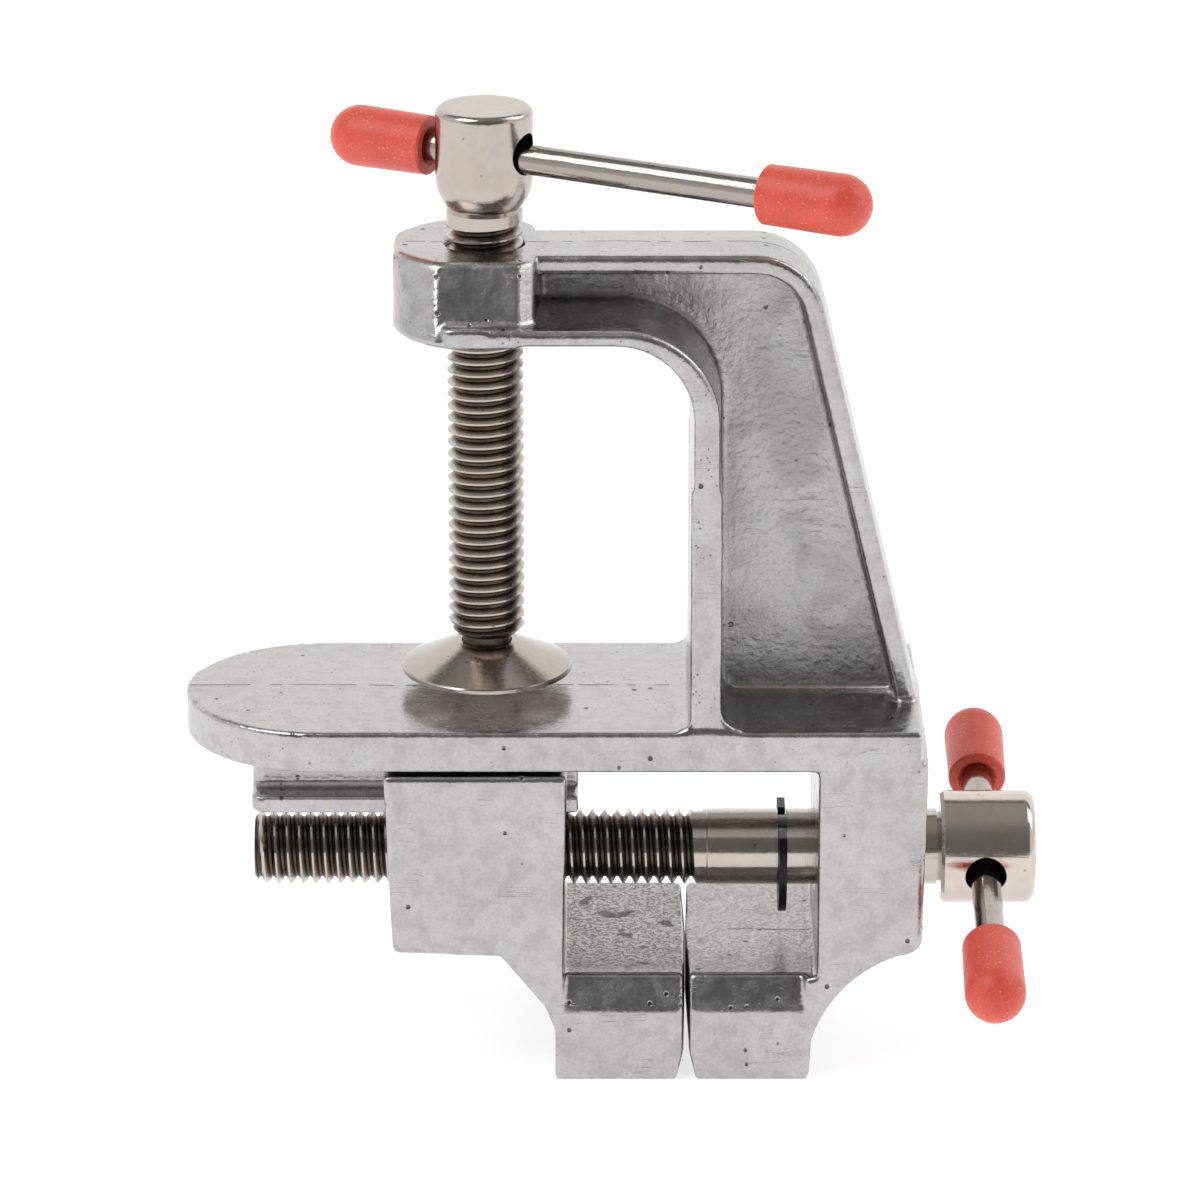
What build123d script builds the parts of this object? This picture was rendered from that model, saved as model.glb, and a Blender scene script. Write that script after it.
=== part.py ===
"""Small table vise: a die-cast C frame with a clamp screw, a fixed jaw and a sliding jaw.

The vise stands on the ends of its two jaws with the table clamp uppermost. Right is +X, the
far side is +Y, up is +Z. The origin is on the ground at the middle of the fixed jaw's end face.
All lengths are in millimetres.
"""

import os
from math import cos, radians, sin, tan

from build123d import *

# ---------------------------------------------------------------- casting, both halves
DRAFT = 1.2  # die draft away from the parting plane Y = 0, degrees
JAW_HALF_WIDTH = 13.4
JAW_GAP = 0.02  # between the grip faces on the parting plane, as the vise stands
GRIP_DRAFT = 0.28  # the grip faces fall back by this much from the parting plane to the sides
CAST_EDGE = 0.45  # rounding of the outer cast edges
JAW_EDGE = 0.35  # the jaws are crisper

# ---------------------------------------------------------------- table plate
PLATE_TOP = 37.6
PLATE_UNDER = 33.05
PLATE_HALF_WIDTH = 13.6
NOSE_X = -56.5
PLATE_END_X = 17.4

# ---------------------------------------------------------------- C arm
LEG_FACE_X = -5.85  # the side of the leg that faces the table's edge
LEG_RIM = 3.1
LEG_FOOT_HALF_WIDTH = 13.4  # the leg widens towards the plate's edges
LEG_FLARE_START = 62.0
THROAT_FOOT_RADIUS = 1.0
WEB_FOOT_RADIUS = 2.0
ARM_UNDER = 76.8
ARM_TOP = 84.2
INNER_FLANGE = 2.0  # thickness of the wide flange under the arm
INNER_FLANGE_HALF_WIDTH = 12.7
THROAT_RADIUS = 7.5
THROAT_RIM_RADIUS = 9.8
OUTER_FLANGE = 2.3
OUTER_FLANGE_HALF_WIDTH = 4.9
OUTER_CORNER_RADIUS = 7.2
INNER_CORNER_RADIUS = 4.8
BACK_LEAN = 13.3  # how far the back of the arm leans from upright, degrees
BACK_FOOT_X = 17.15
WEB_HALF = 0.95

# ---------------------------------------------------------------- clamp boss at the arm's end
CLAMP_X = -26.2
BOSS_LEFT_X = -35.2
BOSS_RIGHT_X = -20.6
BOSS_HALF_WIDTH = 7.8  # at the top
BOSS_FOOT_HALF_WIDTH = 12.5  # at the underside of the wide flange
BOSS_CORNER_X = -30.8  # a rounded corner joins the front to the left side
BOSS_TOP_CORNER = 4.4  # depth of that corner along Y
BOSS_FOOT_CORNER = 9.1
BOSS_TOP_BULGE = 0.35  # how far the corner stands out from its chord
BOSS_FOOT_BULGE = 1.5
BOSS_BEVEL_X = -22.8  # a bevel joins the front to the right side
BOSS_BEVEL = 1.5

# ---------------------------------------------------------------- jaws
BLOCK_LEFT_X = 7.0
BLOCK_RIGHT_X = 17.8
BLOCK_BOTTOM = 13.7
TIP_HALF_LENGTH = 6.1  # along X
TIP_TOP = 7.3  # where the bevel along the jaw's front starts
NECK_TOP = 11.0  # passes under the screw and its retaining clip
NECK_BEVEL = 1.2  # how far the bevel comes in from the side
SLIDER_LEFT_X = -36.4
SLIDER_RIGHT_X = -18.3
SLIDER_TOP = 32.6

# ---------------------------------------------------------------- rail under the plate
RAIL_LEFT_X = -49.9
RAIL_RIGHT_X = -17.0
RAIL_NECK_HALF = 3.0
RAIL_LIP_HALF = 6.0
RAIL_LIP_TOP = 27.8
RAIL_LIP_UNDER = 25.9
SLIDE_CLEARANCE = 0.3

# ---------------------------------------------------------------- screws, M8 x 1.25
PITCH = 1.25
THREAD_RUNOUT = 0.85  # the groove ends this far short of the shank
CREST_RADIUS = 3.8
ROOT_RADIUS = 3.06
CREST_FLAT = 0.18
ROOT_FLAT = 0.22
THREAD_CHAMFER = 0.75
RUNNING_CLEARANCE = 0.08

VISE_AXIS_Z = 20.1
VISE_SCREW_END_X = -49.85
VISE_THREAD_STOP_X = -4.0
SHANK_RADIUS = 3.86
HUB_LEFT_X = 19.75
HUB_RIGHT_X = 29.35
HUB_RADIUS = 5.72
HUB_JOINT_GROOVE = 0.35
SPIGOT_RADIUS = 3.0
VISE_BAR_X = 24.25
VISE_BAR_DIP = 12.0  # the bar's near end hangs this many degrees below level
VISE_BAR_SHIFT = 2.0  # how far the bar is slid towards its near end
VISE_BAR_OVERALL = 53.4

CLAMP_THREAD_END = 43.5
CLAMP_HEAD_UNDER = 87.9
CLAMP_HEAD_WIDEST = 90.9
CLAMP_HEAD_TOP = 98.0
CLAMP_HEAD_RADIUS = 4.83
CLAMP_HEAD_FOOT_RADIUS = 3.7
CLAMP_BAR_Z = 93.2
CLAMP_BAR_TURN = 28.2  # the bar is turned this many degrees towards the front
CLAMP_BAR_SHIFT = 12.6
CLAMP_BAR_OVERALL = 59.3

# ---------------------------------------------------------------- swivel pad
PAD_RADIUS = 8.55
PAD_RIM_UNDER = 39.6
PAD_RIM_TOP = 40.1
PAD_COLLAR_TOP = 42.5
PAD_COLLAR_BORE = 2.55
PAD_WALL = 0.8
SWIVEL_NECK_RADIUS = 2.45
SWIVEL_BUTTON_RADIUS = 3.2
SWIVEL_BUTTON_TOP = 41.75
SWIVEL_BUTTON_UNDER = 40.6

# ---------------------------------------------------------------- T bars and their caps
BAR_RADIUS = 1.5
BAR_HOLE_RADIUS = 2.1
BAR_REST_DROP = 0.5  # the loose bar lies low in its hole
CAP_LENGTH = 11.1
CAP_RADIUS = 3.05
CAP_MOUTH_RADIUS = 2.95
CAP_END_WALL = 1.5
CAP_MOUTH_RELIEF = 0.5

# ---------------------------------------------------------------- retaining clip, open upwards
CLIP_X = 3.3
CLIP_THICKNESS = 0.8
CLIP_RADIUS = 6.6
CLIP_RING_INSIDE = 4.9
CLIP_GROOVE_RADIUS = 3.2
CLIP_TIP_HEIGHT = 3.1
CLIP_MOUTH = 5.4


def oblique(height):
    """X of the leaning back line at a height."""
    return BACK_FOOT_X - (height - PLATE_TOP) * tan(radians(BACK_LEAN))


def thread_groove(origin, axis, length):
    """The helical V groove of a right-hand thread that starts at origin and runs along axis."""
    start = Vector(origin) - Vector(axis) * PITCH
    with BuildPart() as groove:
        with BuildLine() as path:
            Helix(
                pitch=PITCH,
                height=length + PITCH,
                radius=CREST_RADIUS,
                center=start,
                direction=axis,
            )
        radial = (path.line @ 0 - start).normalized()
        profile_plane = Plane(origin=start, x_dir=radial, z_dir=radial.cross(Vector(axis)))
        outer_radius = CREST_RADIUS + 0.3
        root_half = ROOT_FLAT / 2
        crest_half = (PITCH - CREST_FLAT) / 2
        slope = (crest_half - root_half) / (CREST_RADIUS - ROOT_RADIUS)
        outer_half = root_half + slope * (outer_radius - ROOT_RADIUS)
        with BuildSketch(profile_plane):
            with BuildLine():
                Polyline(
                    (ROOT_RADIUS, -root_half),
                    (outer_radius, -outer_half),
                    (outer_radius, outer_half),
                    (ROOT_RADIUS, root_half),
                    close=True,
                )
            make_face()
        sweep(path=path.line, is_frenet=True)
    return groove.part


def t_bar(centre, direction, overall):
    """A plain rod whose ends reach into both caps; overall is the length over the caps."""
    half = overall / 2 - CAP_END_WALL
    with BuildPart() as rod:
        with BuildSketch(Plane(origin=centre - direction * half, z_dir=direction)):
            Circle(BAR_RADIUS)
        extrude(amount=2 * half)
        chamfer(rod.edges().filter_by(GeomType.CIRCLE), 0.3)
    return rod.part


def bar_cap(centre, direction, overall):
    """A dipped cap with a domed end, pushed on the rod end that direction points to."""
    across = Plane(origin=(0, 0, 0), z_dir=direction).x_dir
    mouth = centre + direction * (overall / 2 - CAP_LENGTH)
    profile_plane = Plane(origin=mouth, x_dir=across, z_dir=across.cross(direction))
    straight = CAP_LENGTH - CAP_RADIUS
    with BuildPart() as cap:
        with BuildSketch(profile_plane):
            with BuildLine():
                Polyline(
                    (BAR_RADIUS, CAP_LENGTH - CAP_END_WALL),
                    (BAR_RADIUS, CAP_MOUTH_RELIEF),
                    (BAR_RADIUS + CAP_MOUTH_RELIEF, 0),
                    (CAP_MOUTH_RADIUS - 0.2, 0),
                    (CAP_MOUTH_RADIUS, 0.2),
                    (CAP_RADIUS, straight),
                )
                CenterArc((0, straight), CAP_RADIUS, start_angle=0, arc_size=90)
                Polyline(
                    (0, CAP_LENGTH),
                    (0, CAP_LENGTH - CAP_END_WALL),
                    (BAR_RADIUS, CAP_LENGTH - CAP_END_WALL),
                )
            make_face()
        revolve(axis=Axis(mouth, direction))
    return cap.part


def jaw_tip_chamfer(grip_x, side):
    """The bevel along the ground edge of a grip face; side is +1 where the jaw lies at +X."""
    with BuildPart() as wedge:
        with BuildSketch(Plane.XZ):
            with BuildLine():
                Polyline(
                    (grip_x - side * 0.1, -0.1),
                    (grip_x + side * 1.0, -0.1),
                    (grip_x + side * 0.9, 0.3),
                    (grip_x, 4.3),
                    (grip_x - side * 0.1, 4.3),
                    close=True,
                )
            make_face()
        extrude(amount=JAW_HALF_WIDTH + 1, both=True)
    return wedge.part


def neck_bevel(left, right):
    """A wedge that bevels the front upper edge of a jaw's neck between two X positions."""
    slope = NECK_BEVEL / (NECK_TOP - TIP_TOP)
    with BuildPart() as wedge:
        with BuildSketch(Plane.YZ.offset(left)):
            with BuildLine():
                Polyline(
                    (-JAW_HALF_WIDTH - slope, TIP_TOP - 1),
                    (slope + NECK_BEVEL - JAW_HALF_WIDTH, NECK_TOP + 1),
                    (-JAW_HALF_WIDTH - slope, NECK_TOP + 1),
                    close=True,
                )
            make_face()
        extrude(amount=right - left)
    return wedge.part


def grip_draft(grip_x, side):
    """Wedges that taper a grip face towards its sides; side is +1 where the jaw lies at +X."""
    with BuildPart() as wedges:
        with BuildSketch():
            for half in (-1, 1):
                with BuildLine():
                    Polyline(
                        (grip_x, 0),
                        (grip_x + side * GRIP_DRAFT, half * JAW_HALF_WIDTH),
                        (grip_x + side * GRIP_DRAFT, half * (JAW_HALF_WIDTH + 1)),
                        (grip_x - side, half * (JAW_HALF_WIDTH + 1)),
                        (grip_x - side, 0),
                        close=True,
                    )
                make_face()
        extrude(amount=NECK_TOP + 1, both=True)
    return wedges.part


os.makedirs("parts", exist_ok=True)

# ======================================================================= frame casting
# Table plate: drafted slab with a round nose.
with BuildPart() as plate:
    with BuildSketch(Plane.XZ):
        with BuildLine():
            Polyline(
                (NOSE_X - 2, PLATE_UNDER - 1),
                (PLATE_END_X, PLATE_UNDER - 1),
                (PLATE_END_X, PLATE_TOP),
                (NOSE_X - 2, PLATE_TOP),
                close=True,
            )
        make_face()
    extrude(amount=PLATE_HALF_WIDTH, both=True, taper=DRAFT)
    with BuildSketch(Plane.XY.offset(PLATE_UNDER)):
        with Locations((NOSE_X + PLATE_HALF_WIDTH, 0)):
            Circle(PLATE_HALF_WIDTH)
            Rectangle(
                PLATE_END_X - NOSE_X - PLATE_HALF_WIDTH,
                2 * PLATE_HALF_WIDTH,
                align=(Align.MIN, Align.CENTER),
            )
    extrude(amount=PLATE_TOP - PLATE_UNDER + 1, mode=Mode.INTERSECT)
    under_edges = plate.faces().sort_by(Axis.Z)[0].edges()
    fillet(under_edges.filter_by(GeomType.CIRCLE), CAST_EDGE)

# Leg rim and wide flange under the arm: one bent band that frames the throat.
with BuildPart() as throat_band:
    with BuildSketch(Plane.XZ):
        with BuildLine():
            FilletPolyline(
                (LEG_FACE_X, PLATE_TOP - 2),
                (LEG_FACE_X, ARM_UNDER),
                (CLAMP_X, ARM_UNDER),
                radius=THROAT_RADIUS,
            )
            Line((CLAMP_X, ARM_UNDER), (CLAMP_X, ARM_UNDER + INNER_FLANGE))
            FilletPolyline(
                (CLAMP_X, ARM_UNDER + INNER_FLANGE),
                (LEG_FACE_X + LEG_RIM, ARM_UNDER + INNER_FLANGE),
                (LEG_FACE_X + LEG_RIM, PLATE_TOP - 2),
                radius=THROAT_RIM_RADIUS,
            )
            Line((LEG_FACE_X + LEG_RIM, PLATE_TOP - 2), (LEG_FACE_X, PLATE_TOP - 2))
        make_face()
    extrude(amount=INNER_FLANGE_HALF_WIDTH, both=True, taper=DRAFT)
    end_faces = throat_band.faces().sort_by(Axis.Y)
    fillet(end_faces[0].edges() + end_faces[-1].edges(), CAST_EDGE)

# The leg's foot: it flares to the plate's full width and meets its top in hollow curves.
with BuildPart() as leg_foot:
    for height, half_width in (
        (PLATE_TOP - 1, LEG_FOOT_HALF_WIDTH),
        (LEG_FLARE_START, INNER_FLANGE_HALF_WIDTH - 0.2),
    ):
        with BuildSketch(Plane.XY.offset(height)):
            with Locations((LEG_FACE_X, 0)):
                Rectangle(LEG_RIM, 2 * half_width, align=(Align.MIN, Align.CENTER))
    loft(ruled=True)
    for edge_x, side, radius in (
        (LEG_FACE_X, -1, THROAT_FOOT_RADIUS),
        (LEG_FACE_X + LEG_RIM, 1, WEB_FOOT_RADIUS),
    ):
        with BuildSketch(Plane.XZ):
            with BuildLine():
                hollow = radius * (1 - cos(radians(45)))
                Polyline(
                    (edge_x, PLATE_TOP + radius),
                    (edge_x - side, PLATE_TOP + radius),
                    (edge_x - side, PLATE_TOP - 1),
                    (edge_x + side * radius, PLATE_TOP - 1),
                    (edge_x + side * radius, PLATE_TOP),
                )
                ThreePointArc(
                    (edge_x + side * radius, PLATE_TOP),
                    (edge_x + side * hollow, PLATE_TOP + hollow),
                    (edge_x, PLATE_TOP + radius),
                )
            make_face()
        extrude(amount=LEG_FOOT_HALF_WIDTH - 0.05, both=True)

# Narrow flange along the top of the arm and down its leaning back.
with BuildPart() as back_band:
    with BuildSketch(Plane.XZ):
        with BuildLine():
            inner_top = ARM_TOP - OUTER_FLANGE
            lean_width = OUTER_FLANGE / cos(radians(BACK_LEAN))
            FilletPolyline(
                (CLAMP_X, ARM_TOP),
                (oblique(ARM_TOP), ARM_TOP),
                (oblique(PLATE_TOP - 1), PLATE_TOP - 1),
                radius=OUTER_CORNER_RADIUS,
            )
            Line(
                (oblique(PLATE_TOP - 1), PLATE_TOP - 1),
                (oblique(PLATE_TOP - 1) - lean_width, PLATE_TOP - 1),
            )
            FilletPolyline(
                (oblique(PLATE_TOP - 1) - lean_width, PLATE_TOP - 1),
                (oblique(inner_top) - lean_width, inner_top),
                (CLAMP_X, inner_top),
                radius=INNER_CORNER_RADIUS,
            )
            Line((CLAMP_X, inner_top), (CLAMP_X, ARM_TOP))
        make_face()
    extrude(amount=OUTER_FLANGE_HALF_WIDTH, both=True, taper=2 * DRAFT)
    end_faces = back_band.faces().sort_by(Axis.Y)
    fillet(end_faces[0].edges() + end_faces[-1].edges(), CAST_EDGE)

# Thin web that joins the two bands on the parting plane.
with BuildPart() as web:
    with BuildSketch(Plane.XZ):
        with BuildLine():
            band_middle = LEG_FACE_X + LEG_RIM / 2
            flange_middle = ARM_UNDER + INNER_FLANGE / 2
            FilletPolyline(
                (CLAMP_X, flange_middle),
                (band_middle, flange_middle),
                (band_middle, PLATE_TOP - 1),
                radius=(THROAT_RADIUS + THROAT_RIM_RADIUS) / 2,
            )
            Line((band_middle, PLATE_TOP - 1), (oblique(PLATE_TOP - 1) - 1, PLATE_TOP - 1))
            FilletPolyline(
                (oblique(PLATE_TOP - 1) - 1, PLATE_TOP - 1),
                (oblique(ARM_TOP - 1) - 1, ARM_TOP - 1),
                (CLAMP_X, ARM_TOP - 1),
                radius=(OUTER_CORNER_RADIUS + INNER_CORNER_RADIUS) / 2,
            )
            Line((CLAMP_X, ARM_TOP - 1), (CLAMP_X, flange_middle))
        make_face()
    extrude(amount=WEB_HALF, both=True)

# Boss that holds the clamp screw: it takes in the wide flange's end and its sides lean in.
with BuildPart() as boss:
    for height, half_width, corner_depth, bulge in (
        (ARM_UNDER, BOSS_FOOT_HALF_WIDTH, BOSS_FOOT_CORNER, BOSS_FOOT_BULGE),
        (ARM_TOP, BOSS_HALF_WIDTH, BOSS_TOP_CORNER, BOSS_TOP_BULGE),
    ):
        chord = Vector(BOSS_CORNER_X - BOSS_LEFT_X, -corner_depth)
        out = Vector(-corner_depth, BOSS_LEFT_X - BOSS_CORNER_X).normalized() * bulge
        middle = Vector(BOSS_LEFT_X, corner_depth - half_width) + chord / 2 + out
        with BuildSketch(Plane.XY.offset(height)):
            with BuildLine():
                ThreePointArc(
                    (BOSS_LEFT_X, corner_depth - half_width),
                    (middle.X, middle.Y),
                    (BOSS_CORNER_X, -half_width),
                )
                Polyline(
                    (BOSS_CORNER_X, -half_width),
                    (BOSS_BEVEL_X, -half_width),
                    (BOSS_BEVEL_X + BOSS_BEVEL, BOSS_BEVEL - half_width),
                    (BOSS_RIGHT_X, -WEB_HALF),
                    (BOSS_RIGHT_X, WEB_HALF),
                    (BOSS_BEVEL_X + BOSS_BEVEL, half_width - BOSS_BEVEL),
                    (BOSS_BEVEL_X, half_width),
                    (BOSS_CORNER_X, half_width),
                )
                ThreePointArc(
                    (BOSS_CORNER_X, half_width),
                    (middle.X, -middle.Y),
                    (BOSS_LEFT_X, half_width - corner_depth),
                )
                Line(
                    (BOSS_LEFT_X, half_width - corner_depth),
                    (BOSS_LEFT_X, corner_depth - half_width),
                )
            make_face()
    loft(ruled=True)
    fillet(boss.faces().sort_by(Axis.Z)[-1].edges(), 0.7)
    fillet(boss.faces().sort_by(Axis.Z)[0].edges(), 0.4)

# Front and rear of the wide flange, carried along the boss to its rounded corners.
with BuildPart() as boss_flange:
    with BuildSketch(Plane.XY.offset(ARM_UNDER)):
        with Locations((BOSS_CORNER_X + 0.6, 0)):
            Rectangle(
                CLAMP_X + 3 - BOSS_CORNER_X,
                2 * INNER_FLANGE_HALF_WIDTH - 0.5,
                align=(Align.MIN, Align.CENTER),
            )
    extrude(amount=INNER_FLANGE)
    fillet(boss_flange.edges().filter_by(Axis.Z).group_by(Axis.X)[0], 0.9)

# Fixed jaw: block, curved shoulder, neck and grip tip in one outline.
with BuildPart() as fixed_jaw:
    with BuildSketch(Plane.XZ) as fixed_outline:
        with BuildLine():
            Polyline(
                (BLOCK_LEFT_X, PLATE_UNDER + 1),
                (BLOCK_RIGHT_X + 0.1, PLATE_UNDER + 1),
                (BLOCK_RIGHT_X - 0.3, BLOCK_BOTTOM),
                (15.2, BLOCK_BOTTOM - 0.35),
            )
            ThreePointArc((15.2, BLOCK_BOTTOM - 0.35), (9.9, 10.0), (6.5, 4.2))
            Polyline(
                (6.5, 4.2),
                (TIP_HALF_LENGTH + 0.1, -1),
                (-TIP_HALF_LENGTH, -1),
                (-TIP_HALF_LENGTH, NECK_TOP),
                (BLOCK_LEFT_X, NECK_TOP),
                (BLOCK_LEFT_X, PLATE_UNDER + 1),
            )
        make_face()
        corner = fixed_outline.vertices().sort_by_distance((BLOCK_RIGHT_X, BLOCK_BOTTOM, 0))[0]
        fillet(corner, 1.8)
    extrude(amount=JAW_HALF_WIDTH, both=True)
    add(neck_bevel(-TIP_HALF_LENGTH - 1, BLOCK_LEFT_X - 1.2), mode=Mode.SUBTRACT)
    add(grip_draft(-TIP_HALF_LENGTH, 1), mode=Mode.SUBTRACT)
    end_faces = fixed_jaw.faces().sort_by(Axis.Y)
    fillet(end_faces[0].edges() + end_faces[-1].edges(), JAW_EDGE)
    split(bisect_by=Plane.XY, keep=Keep.TOP)

# T rail that guides the sliding jaw.
with BuildPart() as rail:
    with BuildSketch(Plane.YZ.offset(RAIL_LEFT_X)):
        with BuildLine():
            Polyline(
                (-RAIL_NECK_HALF, PLATE_UNDER + 1),
                (-RAIL_NECK_HALF, RAIL_LIP_TOP),
                (-RAIL_LIP_HALF, RAIL_LIP_TOP),
                (-RAIL_LIP_HALF, RAIL_LIP_UNDER),
                (RAIL_LIP_HALF, RAIL_LIP_UNDER),
                (RAIL_LIP_HALF, RAIL_LIP_TOP),
                (RAIL_NECK_HALF, RAIL_LIP_TOP),
                (RAIL_NECK_HALF, PLATE_UNDER + 1),
                close=True,
            )
        make_face()
    extrude(amount=RAIL_RIGHT_X - RAIL_LEFT_X)
    fillet(rail.edges().filter_by(Axis.Z).group_by(Axis.X)[0], 1.2)

with BuildPart() as frame_casting:
    add(plate.part)
    add(throat_band.part)
    add(leg_foot.part)
    add(back_band.part)
    add(web.part)
    add(boss_flange.part)
    add(boss.part)
    add(fixed_jaw.part)
    add(rail.part)
    add(jaw_tip_chamfer(-TIP_HALF_LENGTH, 1), mode=Mode.SUBTRACT)
    with BuildSketch(Plane.XY.offset(ARM_UNDER - 1)):
        with Locations((CLAMP_X, 0)):
            Circle(CREST_RADIUS + RUNNING_CLEARANCE)
    extrude(amount=ARM_TOP - ARM_UNDER + 2, mode=Mode.SUBTRACT)
    with BuildSketch(Plane.YZ.offset(BLOCK_LEFT_X - 1)):
        with Locations((0, VISE_AXIS_Z)):
            Circle(SHANK_RADIUS + RUNNING_CLEARANCE)
    extrude(amount=BLOCK_RIGHT_X - BLOCK_LEFT_X + 2, mode=Mode.SUBTRACT)

# ======================================================================= sliding jaw
grip_x = -TIP_HALF_LENGTH - JAW_GAP
with BuildPart() as moving_jaw:
    with BuildSketch(Plane.XZ) as slider_outline:
        with BuildLine():
            Polyline(
                (SLIDER_LEFT_X, SLIDER_TOP),
                (SLIDER_RIGHT_X + 0.2, SLIDER_TOP),
                (SLIDER_RIGHT_X - 0.2, NECK_TOP),
                (grip_x, NECK_TOP),
                (grip_x, -1),
                (-19.3, -1),
                (-19.3, 5.2),
                (-20.3, 7.8),
                (-24.8, BLOCK_BOTTOM - 0.4),
                (SLIDER_LEFT_X + 0.8, BLOCK_BOTTOM),
                close=True,
            )
        make_face()
        corner = slider_outline.vertices().sort_by_distance((SLIDER_LEFT_X, BLOCK_BOTTOM, 0))[0]
        fillet(corner, 0.5)
    extrude(amount=JAW_HALF_WIDTH, both=True)
    add(neck_bevel(SLIDER_RIGHT_X - 0.2, grip_x + 1), mode=Mode.SUBTRACT)
    add(grip_draft(grip_x, -1), mode=Mode.SUBTRACT)
    end_faces = moving_jaw.faces().sort_by(Axis.Y)
    fillet(end_faces[0].edges() + end_faces[-1].edges(), JAW_EDGE)
    split(bisect_by=Plane.XY, keep=Keep.TOP)
    add(jaw_tip_chamfer(grip_x, -1), mode=Mode.SUBTRACT)
    # T slot that rides on the rail
    with BuildSketch(Plane.YZ.offset(SLIDER_LEFT_X - 1)):
        with BuildLine():
            neck = RAIL_NECK_HALF + SLIDE_CLEARANCE
            lip = RAIL_LIP_HALF + SLIDE_CLEARANCE
            Polyline(
                (-neck, SLIDER_TOP + 1),
                (-neck, RAIL_LIP_TOP + SLIDE_CLEARANCE),
                (-lip, RAIL_LIP_TOP + SLIDE_CLEARANCE),
                (-lip, RAIL_LIP_UNDER - SLIDE_CLEARANCE),
                (lip, RAIL_LIP_UNDER - SLIDE_CLEARANCE),
                (lip, RAIL_LIP_TOP + SLIDE_CLEARANCE),
                (neck, RAIL_LIP_TOP + SLIDE_CLEARANCE),
                (neck, SLIDER_TOP + 1),
                close=True,
            )
        make_face()
    extrude(amount=SLIDER_RIGHT_X - SLIDER_LEFT_X + 2, mode=Mode.SUBTRACT)
    with BuildSketch(Plane.YZ.offset(SLIDER_LEFT_X - 1)):
        with Locations((0, VISE_AXIS_Z)):
            Circle(CREST_RADIUS + RUNNING_CLEARANCE)
    extrude(amount=SLIDER_RIGHT_X - SLIDER_LEFT_X + 2, mode=Mode.SUBTRACT)

# ======================================================================= vise screw
bar_dip = radians(VISE_BAR_DIP)
vise_bar_direction = Vector(0, -cos(bar_dip), -sin(bar_dip))
vise_hole_plane = Plane(origin=(VISE_BAR_X, 0, VISE_AXIS_Z), z_dir=vise_bar_direction)
vise_axis = Axis((0, 0, VISE_AXIS_Z), (1, 0, 0))
vise_profile_plane = Plane(origin=(0, 0, VISE_AXIS_Z), x_dir=(1, 0, 0), z_dir=(0, -1, 0))
vise_groove = thread_groove(
    (VISE_SCREW_END_X, 0, VISE_AXIS_Z), (1, 0, 0), VISE_THREAD_STOP_X - VISE_SCREW_END_X - THREAD_RUNOUT
)

with BuildPart() as vise_screw:
    with BuildSketch(vise_profile_plane):
        with BuildLine():
            Polyline(
                (VISE_SCREW_END_X, 0),
                (VISE_SCREW_END_X, CREST_RADIUS - THREAD_CHAMFER),
                (VISE_SCREW_END_X + THREAD_CHAMFER, CREST_RADIUS),
                (VISE_THREAD_STOP_X, CREST_RADIUS),
                (VISE_THREAD_STOP_X + 0.1, SHANK_RADIUS),
                (CLIP_X - 0.05, SHANK_RADIUS),
                (CLIP_X - 0.05, CLIP_GROOVE_RADIUS),
                (CLIP_X + CLIP_THICKNESS + 0.05, CLIP_GROOVE_RADIUS),
                (CLIP_X + CLIP_THICKNESS + 0.05, SHANK_RADIUS),
                (HUB_LEFT_X - HUB_JOINT_GROOVE, SHANK_RADIUS),
                (HUB_LEFT_X - HUB_JOINT_GROOVE, SHANK_RADIUS - 0.35),
                (HUB_LEFT_X, SHANK_RADIUS - 0.35),
                (HUB_LEFT_X, SPIGOT_RADIUS),
                (HUB_RIGHT_X - 1.2, SPIGOT_RADIUS),
                (HUB_RIGHT_X - 1.2, 0),
                close=True,
            )
        make_face()
    revolve(axis=vise_axis)
    add(vise_groove, mode=Mode.SUBTRACT)
    with BuildSketch(vise_hole_plane):
        Circle(BAR_HOLE_RADIUS)
    extrude(amount=HUB_RADIUS + 1, both=True, mode=Mode.SUBTRACT)

with BuildPart() as vise_hub:
    with BuildSketch(vise_profile_plane):
        with BuildLine():
            Polyline(
                (HUB_LEFT_X, SPIGOT_RADIUS),
                (HUB_LEFT_X, HUB_RADIUS - 0.35),
                (HUB_LEFT_X + 0.35, HUB_RADIUS),
                (HUB_RIGHT_X - 1.1, HUB_RADIUS),
            )
            TangentArc(
                (HUB_RIGHT_X - 1.1, HUB_RADIUS), (HUB_RIGHT_X, HUB_RADIUS - 1.1), tangent=(1, 0)
            )
            Polyline(
                (HUB_RIGHT_X, HUB_RADIUS - 1.1),
                (HUB_RIGHT_X, 0),
                (HUB_RIGHT_X - 1.2, 0),
                (HUB_RIGHT_X - 1.2, SPIGOT_RADIUS),
                (HUB_LEFT_X, SPIGOT_RADIUS),
            )
        make_face()
    revolve(axis=vise_axis)
    with BuildSketch(vise_hole_plane):
        Circle(BAR_HOLE_RADIUS)
    extrude(amount=HUB_RADIUS + 1, both=True, mode=Mode.SUBTRACT)

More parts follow.
